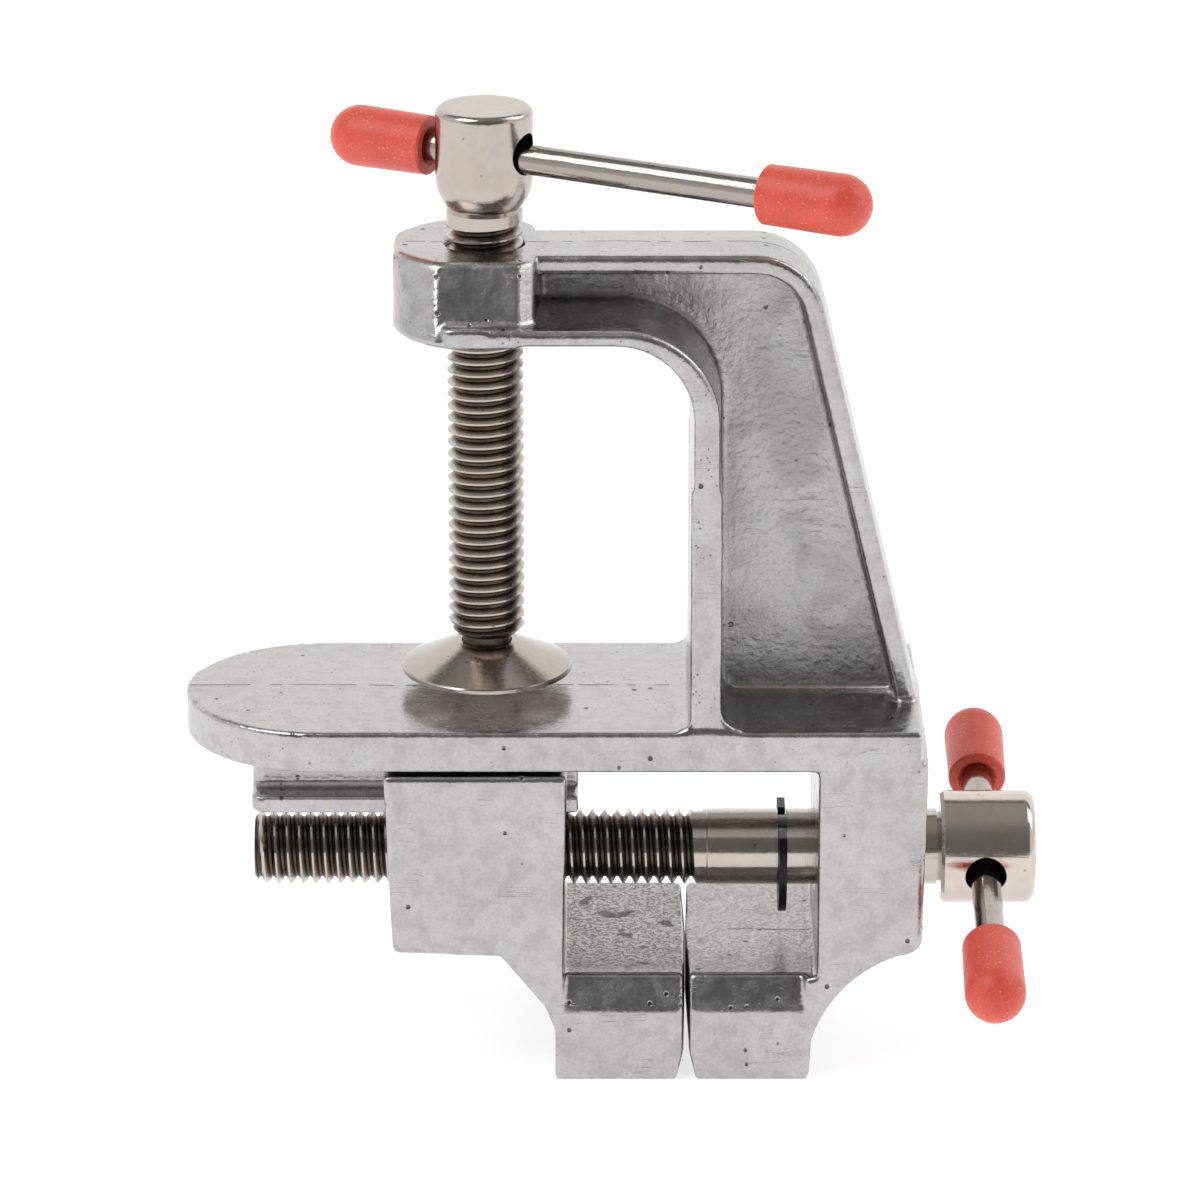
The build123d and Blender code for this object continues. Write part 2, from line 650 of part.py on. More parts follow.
# Retaining clip that snaps into the shank's groove.
with BuildPart() as retaining_clip:
    with BuildSketch(Plane.YZ.offset(CLIP_X)):
        with Locations((0, VISE_AXIS_Z)):
            Circle(CLIP_RADIUS)
            Circle(CLIP_RING_INSIDE, mode=Mode.SUBTRACT)
            with PolarLocations((CLIP_GROOVE_RADIUS + CLIP_RING_INSIDE) / 2, 3, start_angle=30):
                Rectangle(CLIP_RING_INSIDE - CLIP_GROOVE_RADIUS + 1, 2.4)
            Circle(CLIP_GROOVE_RADIUS + 0.05, mode=Mode.SUBTRACT)
        with Locations((0, VISE_AXIS_Z + CLIP_TIP_HEIGHT)):
            Rectangle(3 * CLIP_RADIUS, CLIP_RADIUS, align=(Align.CENTER, Align.MIN), mode=Mode.SUBTRACT)
        with Locations((0, VISE_AXIS_Z)):
            Rectangle(CLIP_MOUTH, CLIP_RADIUS, align=(Align.CENTER, Align.MIN), mode=Mode.SUBTRACT)
    extrude(amount=CLIP_THICKNESS)

# ======================================================================= vise T bar
vise_bar_drop = Vector(0, sin(bar_dip), -cos(bar_dip)) * BAR_REST_DROP
vise_bar_centre = (
    Vector(VISE_BAR_X, 0, VISE_AXIS_Z) + vise_bar_direction * VISE_BAR_SHIFT + vise_bar_drop
)
vise_tbar = t_bar(vise_bar_centre, vise_bar_direction, VISE_BAR_OVERALL)
vise_cap_front = bar_cap(vise_bar_centre, vise_bar_direction, VISE_BAR_OVERALL)
vise_cap_rear = bar_cap(vise_bar_centre, -vise_bar_direction, VISE_BAR_OVERALL)

# ======================================================================= clamp screw
bar_turn = radians(CLAMP_BAR_TURN)
clamp_bar_direction = Vector(cos(bar_turn), -sin(bar_turn), 0)
clamp_hole_plane = Plane(
    origin=(CLAMP_X, 0, CLAMP_BAR_Z + BAR_REST_DROP), z_dir=clamp_bar_direction
)
clamp_axis = Axis((CLAMP_X, 0, 0), (0, 0, 1))
clamp_profile_plane = Plane(origin=(CLAMP_X, 0, 0), x_dir=(1, 0, 0), z_dir=(0, -1, 0))
clamp_groove = thread_groove(
    (CLAMP_X, 0, CLAMP_THREAD_END), (0, 0, 1), CLAMP_HEAD_UNDER - CLAMP_THREAD_END - PITCH
)

with BuildPart() as clamp_screw:
    with BuildSketch(clamp_profile_plane):
        with BuildLine():
            Polyline(
                (0, SWIVEL_BUTTON_UNDER),
                (SWIVEL_BUTTON_RADIUS - 0.3, SWIVEL_BUTTON_UNDER),
                (SWIVEL_BUTTON_RADIUS, SWIVEL_BUTTON_UNDER + 0.3),
                (SWIVEL_BUTTON_RADIUS, SWIVEL_BUTTON_TOP),
                (SWIVEL_NECK_RADIUS, SWIVEL_BUTTON_TOP),
                (SWIVEL_NECK_RADIUS, CLAMP_THREAD_END),
                (CREST_RADIUS - THREAD_CHAMFER, CLAMP_THREAD_END),
                (CREST_RADIUS, CLAMP_THREAD_END + THREAD_CHAMFER),
                (CREST_RADIUS, CLAMP_HEAD_UNDER - 0.4),
                (CLAMP_HEAD_FOOT_RADIUS, CLAMP_HEAD_UNDER),
            )
            ThreePointArc(
                (CLAMP_HEAD_FOOT_RADIUS, CLAMP_HEAD_UNDER),
                (CLAMP_HEAD_RADIUS - 0.3, CLAMP_HEAD_WIDEST - 1.6),
                (CLAMP_HEAD_RADIUS, CLAMP_HEAD_WIDEST),
            )
            Line((CLAMP_HEAD_RADIUS, CLAMP_HEAD_WIDEST), (CLAMP_HEAD_RADIUS, CLAMP_HEAD_TOP - 0.7))
            TangentArc(
                (CLAMP_HEAD_RADIUS, CLAMP_HEAD_TOP - 0.7),
                (CLAMP_HEAD_RADIUS - 0.7, CLAMP_HEAD_TOP),
                tangent=(0, 1),
            )
            Polyline(
                (CLAMP_HEAD_RADIUS - 0.7, CLAMP_HEAD_TOP),
                (0, CLAMP_HEAD_TOP),
                (0, SWIVEL_BUTTON_UNDER),
            )
        make_face()
    revolve(axis=clamp_axis)
    add(clamp_groove, mode=Mode.SUBTRACT)
    with BuildSketch(clamp_hole_plane):
        Circle(BAR_HOLE_RADIUS)
    extrude(amount=CLAMP_HEAD_RADIUS + 1, both=True, mode=Mode.SUBTRACT)

# Dished pad, swaged round the button at the end of the screw so that it can swivel.
with BuildPart() as clamp_pad:
    with BuildSketch(clamp_profile_plane):
        with BuildLine():
            socket = SWIVEL_BUTTON_RADIUS + 0.15
            Polyline(
                (PAD_COLLAR_BORE, PAD_COLLAR_TOP),
                (PAD_COLLAR_BORE + 0.6, PAD_COLLAR_TOP),
                (PAD_RADIUS - 0.1, PAD_RIM_TOP),
                (PAD_RADIUS, PAD_RIM_TOP - 0.15),
                (PAD_RADIUS, PAD_RIM_UNDER),
                (PAD_RADIUS - 0.8, PAD_RIM_UNDER),
                (socket + 1.0, PAD_COLLAR_TOP - 0.6 - PAD_WALL - 0.5),
                (socket, PAD_COLLAR_TOP - 0.6 - PAD_WALL - 0.5),
                (socket, PAD_COLLAR_TOP - 0.6),
                (PAD_COLLAR_BORE, PAD_COLLAR_TOP - 0.6),
                close=True,
            )
        make_face()
    revolve(axis=clamp_axis)

# ======================================================================= clamp T bar
clamp_bar_centre = Vector(CLAMP_X, 0, CLAMP_BAR_Z) + clamp_bar_direction * CLAMP_BAR_SHIFT
clamp_tbar = t_bar(clamp_bar_centre, clamp_bar_direction, CLAMP_BAR_OVERALL)
clamp_cap_right = bar_cap(clamp_bar_centre, clamp_bar_direction, CLAMP_BAR_OVERALL)
clamp_cap_left = bar_cap(clamp_bar_centre, -clamp_bar_direction, CLAMP_BAR_OVERALL)

# ======================================================================= write the parts
pieces = {
    "frame_casting": frame_casting.part,
    "moving_jaw": moving_jaw.part,
    "vise_screw": vise_screw.part,
    "vise_hub": vise_hub.part,
    "retaining_clip": retaining_clip.part,
    "vise_tbar": vise_tbar,
    "vise_cap_front": vise_cap_front,
    "vise_cap_rear": vise_cap_rear,
    "clamp_screw": clamp_screw.part,
    "clamp_pad": clamp_pad.part,
    "clamp_tbar": clamp_tbar,
    "clamp_cap_left": clamp_cap_left,
    "clamp_cap_right": clamp_cap_right,
}
for name, piece in pieces.items():
    piece.label = name
    export_step(piece, f"parts/{name}.step")
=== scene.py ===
"""Looks of a small table vise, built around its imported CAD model. Runs in Blender 4.5.

The row frame is in metres: right is +X, the far side is +Y, up is +Z, and the ground is Z = 0.
The two castings are re-skinned here: their CAD surface is remeshed and its edges are softened as
a die leaves them. All other parts keep their CAD mesh. The lengths inside the materials are in
millimetres, measured on the part itself as it stands at rest.
"""

import math

import bpy
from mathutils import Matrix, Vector
from mathutils.bvhtree import BVHTree


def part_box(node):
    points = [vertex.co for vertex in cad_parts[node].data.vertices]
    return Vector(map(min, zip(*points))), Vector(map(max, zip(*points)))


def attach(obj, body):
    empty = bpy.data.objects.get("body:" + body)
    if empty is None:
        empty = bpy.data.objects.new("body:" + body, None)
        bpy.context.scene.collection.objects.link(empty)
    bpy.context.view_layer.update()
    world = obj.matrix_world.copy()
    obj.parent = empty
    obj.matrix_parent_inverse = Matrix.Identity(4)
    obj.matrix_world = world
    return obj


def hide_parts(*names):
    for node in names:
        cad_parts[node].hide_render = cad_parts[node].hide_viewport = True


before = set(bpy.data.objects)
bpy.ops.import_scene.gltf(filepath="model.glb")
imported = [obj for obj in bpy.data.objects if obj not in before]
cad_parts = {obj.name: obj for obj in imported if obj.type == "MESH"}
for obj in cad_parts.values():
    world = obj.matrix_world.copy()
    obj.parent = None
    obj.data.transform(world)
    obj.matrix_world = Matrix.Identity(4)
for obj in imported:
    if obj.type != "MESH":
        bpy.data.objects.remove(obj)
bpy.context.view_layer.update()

MM = 0.001

# Camera: straight in front, looking slightly down, through a long lens
CAMERA_AT = Vector((-14.8, -661.06, 276.85)) * MM
CAMERA_AIM = Vector((-14.8, 0.0, 46.64)) * MM
CAMERA_LENS = 208.74
SENSOR = 36.0

# Softboxes: name, place, width and height, watts; both look at SOFTBOX_AIM
SOFTBOXES = (
    ("key", (-0.45, -0.25, 0.75), (0.5, 0.5), 2.6),
    ("fill", (0.55, 0.10, 0.60), (0.4, 0.6), 1.2),
)
SOFTBOX_AIM = Vector((0.0, 0.0, 0.04))

# Brightness of the room by tilt: 0 degrees is straight up, 90 is level towards the camera and
# -90 is level towards the far side
ROOM_LEVELS = (
    (-180, 1.08),
    (-44, 1.12),
    (-39, 0.30),
    (-35, 0.14),
    (-28, 0.36),
    (12, 0.34),
    (28, 0.26),
    (42, 0.20),
    (60, 0.17),
    (90, 0.16),
    (98, 0.40),
    (108, 0.50),
    (180, 0.85),
)
ROOM_WARMTH = 0.985  # blue against red and green
SIDE_WALLS = (0.85, 0.86, 0.87)
TABLE_HALF = 3.0
TABLE_PAPER = (0.55, 0.55, 0.55)
TABLE_GLOW = 0.72

# Casting skins
SKIN_VOXEL = 0.30 * MM
SKIN_SMOOTHING = 7
WELD_DISTANCE = 0.001 * MM
SNAP_NEAR = 0.02 * MM  # closer to the CAD surface than this, a point is put back on it
SNAP_FAR = 0.09 * MM  # further away, it is part of a softened edge and stays

# Places on the castings, in millimetres
PLATE_TOP = 37.6
BACK_LEAN = 0.2364  # how far the back of the arm leans, for each millimetre of height
BACK_FOOT_X = 14.7  # the inner side of the back flange at the plate's top
WEB_TOP = 82.0
WEB_HALF = 1.35
GRIP_X = -6.11  # the grip faces meet here
GRIP_DEPTH = (1.0, 0.6)  # painted gap shade ends this far from GRIP_X, and is full nearer than that
GRIP_BOTTOM = (3.6, 4.6)
GRIP_TOP = (11.6, 11.2)
NECK_BELOW = (9.8, 10.8)  # the neck's flat top lies between these two spans of height
NECK_ABOVE = (12.5, 12.0)
NECK_FRONT = (-11.8, -9.5)
FIXED_NECK = (-6.4, 6.8, 0.35)  # low X, high X and roughness of the neck's top
SLIDING_NECK = (-18.2, -6.5, 1.0)

# Screw threads, in millimetres
THREAD_ROOT = 3.08
THREAD_CREST = 3.70

# Colours, linear
ALUMINIUM = (0.500, 0.476, 0.482)
ALUMINIUM_PALE = (0.53, 0.515, 0.52)
PIT_DARK = (0.05, 0.045, 0.042)
SCRATCH_DARK = (0.20, 0.185, 0.18)
NECK_STAIN = (0.46, 0.37, 0.33)
NECK_CRUST = (0.11, 0.10, 0.095)
# dark blotches on the neck's top
NECK_DARK_BLOTCH = (0.03, 0.027, 0.025)
# painted shade: the near black of the shaded gap between the closed grip faces
GRIP_GAP_SHADE = (0.030, 0.026, 0.025)
# mottled web skin, partly painted shade of the recess between the flanges
WEB_MOTTLE_AND_SHADE = (0.27, 0.25, 0.255)
SEAM_DARK = (0.12, 0.105, 0.10)
NICKEL = (0.690, 0.625, 0.575)
NICKEL_BROWN = (0.60, 0.52, 0.46)
NICKEL_SPECK = (0.10, 0.075, 0.06)
# painted shade in the thread roots, partly a real oily brown tint
THREAD_ROOT_SHADE_AND_OIL = (0.055, 0.037, 0.026)
VINYL = (0.770, 0.085, 0.052)
VINYL_LIGHT = (0.84, 0.105, 0.065)
VINYL_BLOOM = (0.90, 0.29, 0.21)
VINYL_SPECK = (0.93, 0.50, 0.40)
CLIP_BLACK = (0.012, 0.011, 0.014)
CLIP_RUBBED = (0.09, 0.08, 0.085)


# ----------------------------------------------------------------------------- node helpers
class Graph:
    """Short names for the shader nodes of one material."""

    def __init__(self, tree):
        self.tree = tree

    def add(self, kind, inputs=None, **settings):
        """A node of a kind; inputs are values or sockets by socket name or number."""
        node = self.tree.nodes.new(kind)
        for key, value in settings.items():
            setattr(node, key, value)
        for key, value in (inputs or {}).items():
            self.feed(node.inputs[key], value)
        return node

    def feed(self, socket, value):
        """Links a socket, or sets a value; a colour of three numbers gets full alpha."""
        if isinstance(value, bpy.types.NodeSocket):
            self.tree.links.new(value, socket)
        elif isinstance(value, tuple) and len(value) == 3 and len(socket.default_value) == 4:
            socket.default_value = (*value, 1.0)
        else:
            socket.default_value = value

    def math(self, operation, a, b=0.0):
        return self.add("ShaderNodeMath", {0: a, 1: b}, operation=operation).outputs[0]

    def product(self, first, *others):
        for factor in others:
            first = self.math("MULTIPLY", first, factor)
        return first

    def plus(self, base, value, weight=1.0):
        return self.math("ADD", base, self.math("MULTIPLY", value, weight))

    def minus(self, base, value, weight=1.0):
        return self.math("SUBTRACT", base, self.math("MULTIPLY", value, weight))

    def ramp(self, value, low, high, to_low=0.0, to_high=1.0):
        """value's place between low and high, eased, mapped to a new range."""
        node = self.add(
            "ShaderNodeMapRange",
            {
                "Value": value,
                "From Min": low,
                "From Max": high,
                "To Min": to_low,
                "To Max": to_high,
            },
            interpolation_type="SMOOTHSTEP",
        )
        return node.outputs["Result"]

    def mix(self, share, a, b):
        """A colour between a and b."""
        node = self.add("ShaderNodeMix", data_type="RGBA")
        self.feed(node.inputs["Factor"], share)
        self.feed(node.inputs[6], a)
        self.feed(node.inputs[7], b)
        return node.outputs[2]

    def stain(self, colour, mask, strength, other):
        """colour, turned towards another colour where the mask says so."""
        return self.mix(self.math("MULTIPLY", mask, strength), colour, other)

    def shade(self, colour, factor):
        """A colour made darker or lighter."""
        node = self.add("ShaderNodeVectorMath", {0: colour, "Scale": factor}, operation="SCALE")
        return node.outputs[0]

    def millimetres(self):
        """The point on the object, in millimetres, in the row frame at rest."""
        point = self.add("ShaderNodeTexCoord").outputs["Object"]
        node = self.add("ShaderNodeVectorMath", {0: point, "Scale": 1 / MM}, operation="SCALE")
        return node.outputs[0]

    def split(self, vector):
        return self.add("ShaderNodeSeparateXYZ", {0: vector}).outputs

    def normal(self):
        """X, Y and Z of the surface's direction."""
        return self.split(self.add("ShaderNodeNewGeometry").outputs["Normal"])

    def noise(self, where, per_mm, detail=2.0, roughness=0.5, distortion=0.0):
        node = self.add(
            "ShaderNodeTexNoise",
            {
                "Vector": where,
                "Scale": per_mm,
                "Detail": detail,
                "Roughness": roughness,
                "Distortion": distortion,
            },
        )
        return node.outputs["Fac"]

    def spots(self, where, per_mm, channel, rarity, size):
        """Round spots: small cells, of which only those with a high random value show."""
        cells = self.add("ShaderNodeTexVoronoi", {"Vector": where, "Scale": per_mm}).outputs
        chosen = self.ramp(self.split(cells["Color"])[channel], *rarity)
        return self.math("MULTIPLY", self.ramp(cells["Distance"], *size, 1.0, 0.0), chosen)

    def stretch(self, where, scale, turn=(0.0, 0.0, 0.0)):
        inputs = {"Vector": where, "Rotation": turn, "Scale": scale}
        return self.add("ShaderNodeMapping", inputs).outputs[0]

    def bump(self, height, depth_mm):
        inputs = {"Height": height, "Distance": depth_mm * MM, "Strength": 1.0}
        return self.add("ShaderNodeBump", inputs).outputs[0]


def new_material(name):
    material = bpy.data.materials.new(name)
    material.use_nodes = True
    material.node_tree.nodes.clear()
    graph = Graph(material.node_tree)
    shader = graph.add("ShaderNodeBsdfPrincipled")
    graph.add("ShaderNodeOutputMaterial", {"Surface": shader.outputs[0]})
    return material, graph, shader


# ----------------------------------------------------------------------------- materials
def scratches(g, where):
    """Thin crossings of noise stretched along two directions, in a few patches."""
    scratch = 0.0
    for turn, width in (((0.2, 0.5, 0.9), 0.006), ((0.7, -0.4, 2.1), 0.005)):
        streaks = g.noise(g.stretch(where, (0.05, 0.9, 0.9), turn), 1.0, 1.0, 0.4)
        line = g.math("ABSOLUTE", g.math("SUBTRACT", streaks, 0.5))
        line = g.ramp(line, width * 0.4, width, 1.0, 0.0)
        scratch = g.math("MAXIMUM", line, scratch)
    return g.math("MULTIPLY", scratch, g.ramp(g.noise(where, 0.22, 1.0), 0.60, 0.68))


def neck_mask(g, point, zone):
    """The flat top of a jaw's neck; zone is its low X, high X and roughness."""
    x, y, z = point
    low_x, high_x, strength = zone
    return g.product(
        g.math("GREATER_THAN", x, low_x),
        g.math("LESS_THAN", x, high_x),
        g.ramp(z, *NECK_BELOW),
        g.ramp(z, *NECK_ABOVE),
        g.ramp(y, *NECK_FRONT, 0.0, strength),
    )


def grip_shade_mask(g, point, mottle):
    """The two grip faces, painted near black in patches: painted shade of the narrow gap between them.
    """
    x, _, z = point
    from_grip = g.math("ABSOLUTE", g.math("SUBTRACT", x, GRIP_X))
    return g.product(
        g.ramp(g.math("ABSOLUTE", g.normal()[0]), 0.80, 0.95),
        g.ramp(from_grip, *GRIP_DEPTH),
        g.ramp(z, *GRIP_BOTTOM),
        g.ramp(z, *GRIP_TOP),
        g.ramp(mottle, 0.35, 0.60, 0.60, 0.92),
    )


def web_mask(g, point):
    """The thin web on the parting plane, between the leg and the leaning back."""
    x, y, z = point
    lean = g.plus(x, g.math("SUBTRACT", z, PLATE_TOP), BACK_LEAN)
    return g.product(
        g.math("LESS_THAN", g.math("ABSOLUTE", y), WEB_HALF),
        g.math("GREATER_THAN", z, PLATE_TOP + 0.6),
        g.math("LESS_THAN", z, WEB_TOP),
        g.math("LESS_THAN", lean, BACK_FOOT_X),
    )


def seam_mask(g, where, point):
    """The thin, broken flash that the die halves left along the tops."""
    drift = g.math("SUBTRACT", g.noise(where, 0.12), 0.5)
    seam = g.math("ABSOLUTE", g.math("ADD", point[1], drift))
    return g.product(
        g.ramp(seam, 0.05, 0.17, 1.0, 0.0),
        g.ramp(g.noise(where, 0.5, 2.0), 0.42, 0.50),
        g.ramp(g.normal()[2], 0.7, 0.9),
    )


def cast_aluminium(name, has_web, neck_zone):
    """Die-cast skin: satin to glossy, faintly wavy, with pits, specks, scratches and smears.

    has_web says whether the part has the thin web, whose skin is rough and mottled, and painted darker
    in blotches as shade of the recess it lies in.
    neck_zone is the low X, high X and roughness of the speckled top of its jaw's neck.
    """
    material, g, shader = new_material(name)
    where = g.millimetres()
    point = [g.split(where)[axis] for axis in range(3)]

    clouds = g.noise(where, 0.09, 3.0, 0.6)
    mottle = g.noise(where, 0.45, 4.0, 0.62, 0.4)
    grain = g.noise(where, 3.2, 3.0, 0.6)
    peel = g.noise(where, 1.1, 2.0, 0.5)
    tone = g.product(
        g.plus(0.84, clouds, 0.22),
        g.ramp(mottle, 0.30, 0.62, 0.90, 1.04),
        g.ramp(grain, 0.25, 0.70, 0.93, 1.05),
    )
    pits = g.spots(where, 0.62, 0, (0.86, 0.90), (0.10, 0.20))
    specks = g.spots(where, 1.9, 1, (0.90, 0.93), (0.12, 0.24))
    holes = g.math("MAXIMUM", pits, g.math("MULTIPLY", specks, 0.8))
    scratch = scratches(g, where)

    colour = g.shade(g.mix(g.ramp(mottle, 0.35, 0.7), ALUMINIUM, ALUMINIUM_PALE), tone)
    colour = g.stain(colour, holes, 0.85, PIT_DARK)
    colour = g.stain(colour, scratch, 0.30, SCRATCH_DARK)
    rough = g.ramp(mottle, 0.3, 0.7, 0.17, 0.30)
    relief = g.plus(g.math("MULTIPLY", peel, 0.75), grain, 0.30)
    relief = g.minus(relief, holes, 1.1)
    relief = g.minus(relief, scratch, 0.25)

    neck = neck_mask(g, point, neck_zone)
    crust = g.math("MULTIPLY", neck, g.ramp(g.noise(where, 2.1, 5.0, 0.75, 0.3), 0.42, 0.50, 1.0, 0.0))
    # sparse dark blotches on the neck's top
    dark_blotch = g.math("MULTIPLY", neck, g.ramp(g.noise(where, 0.35, 2.0, 0.6), 0.60, 0.68))
    brown = g.math("MULTIPLY", neck, g.ramp(g.noise(where, 0.55, 2.0, 0.6), 0.50, 0.62))
    colour = g.stain(colour, brown, 0.35, NECK_STAIN)
    colour = g.stain(colour, crust, 0.70, NECK_CRUST)
    colour = g.stain(colour, dark_blotch, 0.80, NECK_DARK_BLOTCH)
    relief = g.minus(relief, crust, 1.2)
    rough = g.plus(rough, neck, 0.12)

    # painted shade on the grip faces, which face each other across a narrow, shaded gap
    grip = grip_shade_mask(g, point, mottle)
    colour = g.mix(grip, colour, GRIP_GAP_SHADE)
    rough = g.plus(rough, grip, 0.35)

    if has_web:
        web = web_mask(g, point)
        # dark blotches on the web: real mottle and painted shade of the recess
        mottle_and_shade = g.ramp(g.noise(where, 0.13, 3.0, 0.55, 0.6), 0.40, 0.62, 0.0, 0.55)
        hammer = g.noise(where, 1.3, 3.0, 0.6)
        colour = g.mix(g.math("MULTIPLY", web, mottle_and_shade), colour, WEB_MOTTLE_AND_SHADE)
        rough = g.plus(rough, web, 0.12)
        relief = g.plus(relief, g.math("MULTIPLY", web, hammer), 2.4)
        seam = seam_mask(g, where, point)
        colour = g.stain(colour, seam, 0.75, SEAM_DARK)
        relief = g.plus(relief, seam, 0.9)

    g.feed(shader.inputs["Base Color"], colour)
    shader.inputs["Metallic"].default_value = 1.0
    g.feed(shader.inputs["Roughness"], rough)
    g.feed(shader.inputs["Normal"], g.bump(relief, 0.055))
    return material


def thread_depth(g, where, smear, axis, centre):
    """How deep in a thread's groove the surface lies; the flat ends of the screw get none of the
    painted shade.
    """
    point = g.split(where)
    squares = []
    for across, middle in zip([i for i in range(3) if i != axis], centre):
        offset = g.math("SUBTRACT", point[across], middle)
        squares.append(g.math("MULTIPLY", offset, offset))
    radius = g.math("SQRT", g.math("ADD", *squares))
    along = g.math("ABSOLUTE", g.normal()[axis])
    return g.product(
        g.ramp(radius, THREAD_ROOT, THREAD_CREST, 1.0, 0.0),
        g.ramp(smear, 0.2, 0.8, 1.0, 0.82),
        g.ramp(along, 0.90, 0.97, 1.0, 0.0),
    )


def nickel_steel(name, shade=1.0, thread_axis=None, centre=None):
    """Bright nickel plate over turned steel, with painted shade, tinted oily brown, deep in a thread's
    groove.

    shade below 1 is painted shade: a darker copy of the plate where the part looks darker than the
    lighting makes it. thread_axis is the screw's axis, 0 for X or 2 for Z, and centre its place across
    that axis.
    """
    material, g, shader = new_material(name)
    where = g.millimetres()
    smear = g.noise(where, 0.35, 3.0, 0.6, 0.5)
    fine = g.noise(where, 2.6, 3.0, 0.6)
    turned = (9.0, 0.6, 0.6) if thread_axis == 0 else (0.6, 0.6, 9.0)
    lines = g.noise(g.stretch(where, turned), 1.0, 2.0)
    specks = g.spots(where, 1.1, 0, (0.90, 0.94), (0.10, 0.22))

    # shade darkens the whole plate: painted shade
    tone = g.math("MULTIPLY", shade, g.plus(0.78, smear, 0.40))
    colour = g.shade(g.mix(g.ramp(smear, 0.35, 0.7), NICKEL, NICKEL_BROWN), tone)
    colour = g.stain(colour, specks, 0.6, NICKEL_SPECK)
    rough = g.ramp(fine, 0.3, 0.7, 0.10, 0.20)
    relief = g.plus(g.math("MULTIPLY", fine, 0.35), lines, 0.65)
    if thread_axis is not None:
        # painted shade, tinted oily brown, deep in the thread's groove
        depth = thread_depth(g, where, smear, thread_axis, centre)
        colour = g.mix(depth, colour, THREAD_ROOT_SHADE_AND_OIL)
        rough = g.plus(rough, depth, 0.25)

    g.feed(shader.inputs["Base Color"], colour)
    shader.inputs["Metallic"].default_value = 1.0
    g.feed(shader.inputs["Roughness"], rough)
    g.feed(shader.inputs["Normal"], g.bump(relief, 0.012))
    return material


def red_vinyl(name):
    """Dipped vinyl: soft sheen, fine pale specks and tiny dimples."""
    material, g, shader = new_material(name)
    where = g.millimetres()
    cloud = g.noise(where, 0.35, 3.0, 0.6)
    fine = g.noise(where, 4.5, 3.0, 0.65)
    specks = g.spots(where, 2.6, 0, (0.62, 0.80), (0.14, 0.34))

    colour = g.mix(g.ramp(cloud, 0.3, 0.7), VINYL, VINYL_LIGHT)
    colour = g.mix(g.ramp(fine, 0.50, 0.72, 0.0, 0.42), colour, VINYL_BLOOM)
    colour = g.stain(colour, specks, 0.50, VINYL_SPECK)
    g.feed(shader.inputs["Base Color"], colour)
    g.feed(shader.inputs["Roughness"], g.ramp(fine, 0.3, 0.7, 0.30, 0.46))
    shader.inputs["Subsurface Weight"].default_value = 0.18
    shader.inputs["Subsurface Radius"].default_value = (1.0, 0.25, 0.15)
    shader.inputs["Subsurface Scale"].default_value = 0.6 * MM
    relief = g.plus(g.math("MULTIPLY", fine, 0.8), specks, 0.7)
    g.feed(shader.inputs["Normal"], g.bump(relief, 0.035))
    return material


def black_oxide(name):
    """Stamped spring steel with a thin black oxide skin, rubbed bare in places."""
    material, g, shader = new_material(name)
    rub = g.noise(g.millimetres(), 1.4, 4.0, 0.65)
    colour = g.mix(g.ramp(rub, 0.58, 0.72, 0.0, 0.6), CLIP_BLACK, CLIP_RUBBED)
    g.feed(shader.inputs["Base Color"], colour)
    shader.inputs["Metallic"].default_value = 0.55
    g.feed(shader.inputs["Roughness"], g.ramp(rub, 0.3, 0.7, 0.28, 0.45))
    g.feed(shader.inputs["Normal"], g.bump(rub, 0.02))
    return material


def middle_of(node):
    """The middle of a CAD node's box, in millimetres."""
    low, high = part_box(node)
    return (Vector(low) + Vector(high)) / 2 / MM


def paint(piece, material):
    piece.data.materials.clear()
    piece.data.materials.append(material)


# ----------------------------------------------------------------------------- casting skins
def closed_copy(node):
    """The CAD node's mesh with its split edges joined again, in a new object."""
    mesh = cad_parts[node].data.copy()
    piece = bpy.data.objects.new(f"{node}_skin", mesh)
    bpy.context.scene.collection.objects.link(piece)
    weld = piece.modifiers.new("weld", "WELD")
    weld.merge_threshold = WELD_DISTANCE
    return piece


def bake_modifiers(piece):
    """Puts the result of the piece's modifiers into its mesh."""
    depsgraph = bpy.context.evaluated_depsgraph_get()
    mesh = bpy.data.meshes.new_from_object(piece.evaluated_get(depsgraph))
    piece.modifiers.clear()
    piece.data = mesh


def casting_skin(node, body):
    """A cast skin over a CAD node: softened edges, and true flats between them."""
    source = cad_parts[node].data
    corners = [v.co.copy() for v in source.vertices]
    surface = BVHTree.FromPolygons(corners, [p.vertices[:] for p in source.polygons])
    piece = closed_copy(node)
    remesh = piece.modifiers.new("remesh", "REMESH")
    remesh.mode = "VOXEL"
    remesh.voxel_size = SKIN_VOXEL
    remesh.adaptivity = 0.0
    smooth = piece.modifiers.new("smooth", "SMOOTH")
    smooth.factor = 0.5
    smooth.iterations = SKIN_SMOOTHING
    bpy.context.view_layer.update()
    bake_modifiers(piece)
    for vertex in piece.data.vertices:
        nearest, _, _, distance = surface.find_nearest(vertex.co)
        share = (SNAP_FAR - distance) / (SNAP_FAR - SNAP_NEAR)
        share = min(1.0, max(0.0, share))
        vertex.co = vertex.co.lerp(nearest, share * share * (3 - 2 * share))
    piece.data.shade_smooth()
    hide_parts(node)
    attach(piece, body)
    return piece


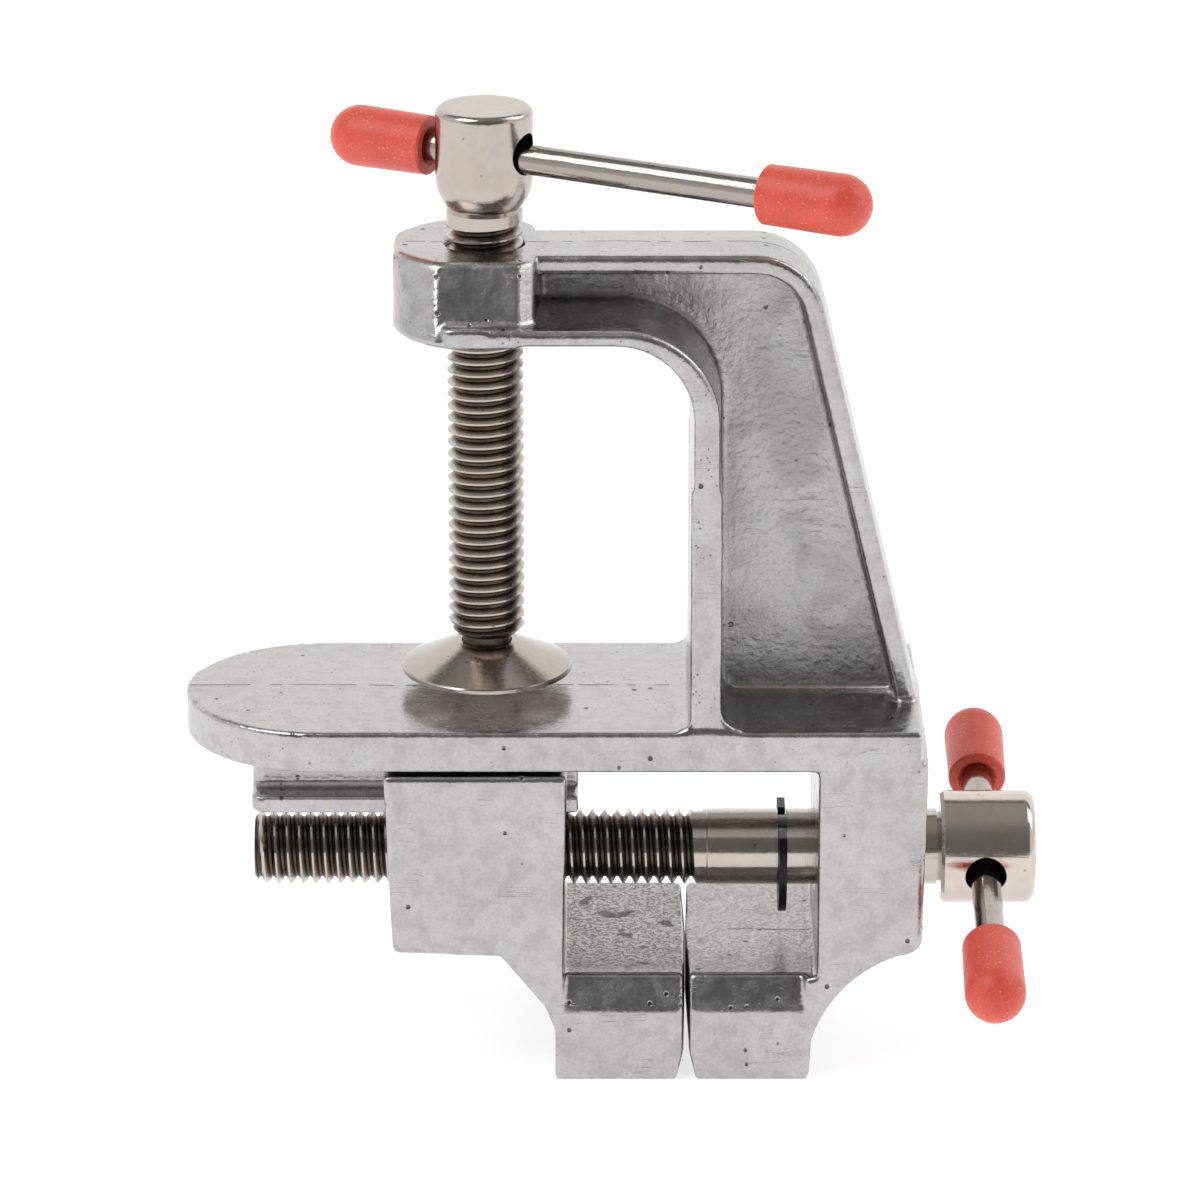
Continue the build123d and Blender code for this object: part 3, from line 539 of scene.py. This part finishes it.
# ----------------------------------------------------------------------------- stage
def studio():
    """A bright far side, paler side walls, and a darker room towards the camera."""
    world = bpy.data.worlds.new("studio")
    bpy.context.scene.world = world
    world.use_nodes = True
    world.node_tree.nodes.clear()
    g = Graph(world.node_tree)
    x, y, z = (g.split(g.add("ShaderNodeTexCoord").outputs["Generated"])[i] for i in range(3))
    tilt = g.math("ARCTAN2", g.math("MULTIPLY", y, -1.0), z)
    turn = g.math("DIVIDE", g.math("ADD", tilt, math.pi), 2 * math.pi)
    ramp = g.add("ShaderNodeValToRGB", {"Fac": turn})
    ramp.color_ramp.interpolation = "LINEAR"
    elements = ramp.color_ramp.elements
    while len(elements) < len(ROOM_LEVELS):
        elements.new(0.5)
    for element, (angle, level) in zip(elements, ROOM_LEVELS):
        element.position = (angle + 180) / 360
        element.color = (level, level, level * ROOM_WARMTH, 1.0)
    side = g.ramp(g.math("ABSOLUTE", x), 0.62, 0.86)
    colour = g.mix(side, ramp.outputs["Color"], SIDE_WALLS)
    background = g.add("ShaderNodeBackground", {"Color": colour, "Strength": 1.0})
    g.add("ShaderNodeOutputWorld", {"Surface": background.outputs[0]})


def floor():
    """A white table whose far part is as bright as the room behind it."""
    material = bpy.data.materials.new("white_table")
    material.use_nodes = True
    material.node_tree.nodes.clear()
    g = Graph(material.node_tree)
    paper = g.add("ShaderNodeBsdfDiffuse", {"Color": TABLE_PAPER})
    glow = g.add("ShaderNodeEmission", {"Color": (1.0, 1.0, 1.0), "Strength": TABLE_GLOW})
    both = g.add("ShaderNodeAddShader", {0: paper.outputs[0], 1: glow.outputs[0]})
    g.add("ShaderNodeOutputMaterial", {"Surface": both.outputs[0]})
    corners = [
        (x * TABLE_HALF, y * TABLE_HALF, 0.0) for x, y in ((-1, -1), (1, -1), (1, 1), (-1, 1))
    ]
    mesh = bpy.data.meshes.new("table")
    mesh.from_pydata(corners, [], [(0, 1, 2, 3)])
    table = bpy.data.objects.new("table", mesh)
    bpy.context.scene.collection.objects.link(table)
    paint(table, material)


def aim(item, at, target):
    item.location = at
    item.rotation_euler = (target - at).to_track_quat("-Z", "Y").to_euler()


def softbox(name, at, size, power):
    light = bpy.data.lights.new(name, "AREA")
    light.shape = "RECTANGLE"
    light.size, light.size_y = size
    light.energy = power
    lamp = bpy.data.objects.new(name, light)
    bpy.context.scene.collection.objects.link(lamp)
    aim(lamp, Vector(at), SOFTBOX_AIM)


def camera():
    data = bpy.data.cameras.new("camera")
    data.lens = CAMERA_LENS
    data.sensor_width = SENSOR
    data.clip_start = 0.05
    data.clip_end = 20.0
    eye = bpy.data.objects.new("camera", data)
    bpy.context.scene.collection.objects.link(eye)
    aim(eye, CAMERA_AT, CAMERA_AIM)
    bpy.context.scene.camera = eye


# ----------------------------------------------------------------------------- build
bpy.context.scene.view_settings.view_transform = "Standard"
camera()
studio()
floor()
for name, at, size, power in SOFTBOXES:
    softbox(name, at, size, power)

frame_skin = casting_skin("frame_casting", "frame")
paint(frame_skin, cast_aluminium("cast_frame", True, FIXED_NECK))
jaw_skin = casting_skin("moving_jaw", "sliding_jaw")
paint(jaw_skin, cast_aluminium("cast_jaw", False, SLIDING_NECK))

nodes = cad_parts
vise_middle = middle_of("vise_screw")
clamp_middle = middle_of("clamp_screw")
# The numbers below 1 after the material names are painted shade: darker copies of the nickel.
paint(nodes["vise_screw"], nickel_steel("vise_thread", 0.86, 0, vise_middle.yz))
paint(nodes["clamp_screw"], nickel_steel("clamp_thread", 0.78, 2, clamp_middle.xy))
paint(nodes["vise_hub"], nickel_steel("hub_nickel"))
paint(nodes["clamp_pad"], nickel_steel("pad_nickel", 0.72))
paint(nodes["vise_tbar"], nickel_steel("vise_bar_nickel", 0.72))
paint(nodes["clamp_tbar"], nickel_steel("clamp_bar_nickel", 0.60))
paint(nodes["retaining_clip"], black_oxide("clip_oxide"))
vinyl = red_vinyl("red_vinyl")
for cap in ("vise_cap_front", "vise_cap_rear", "clamp_cap_left", "clamp_cap_right"):
    paint(nodes[cap], vinyl)
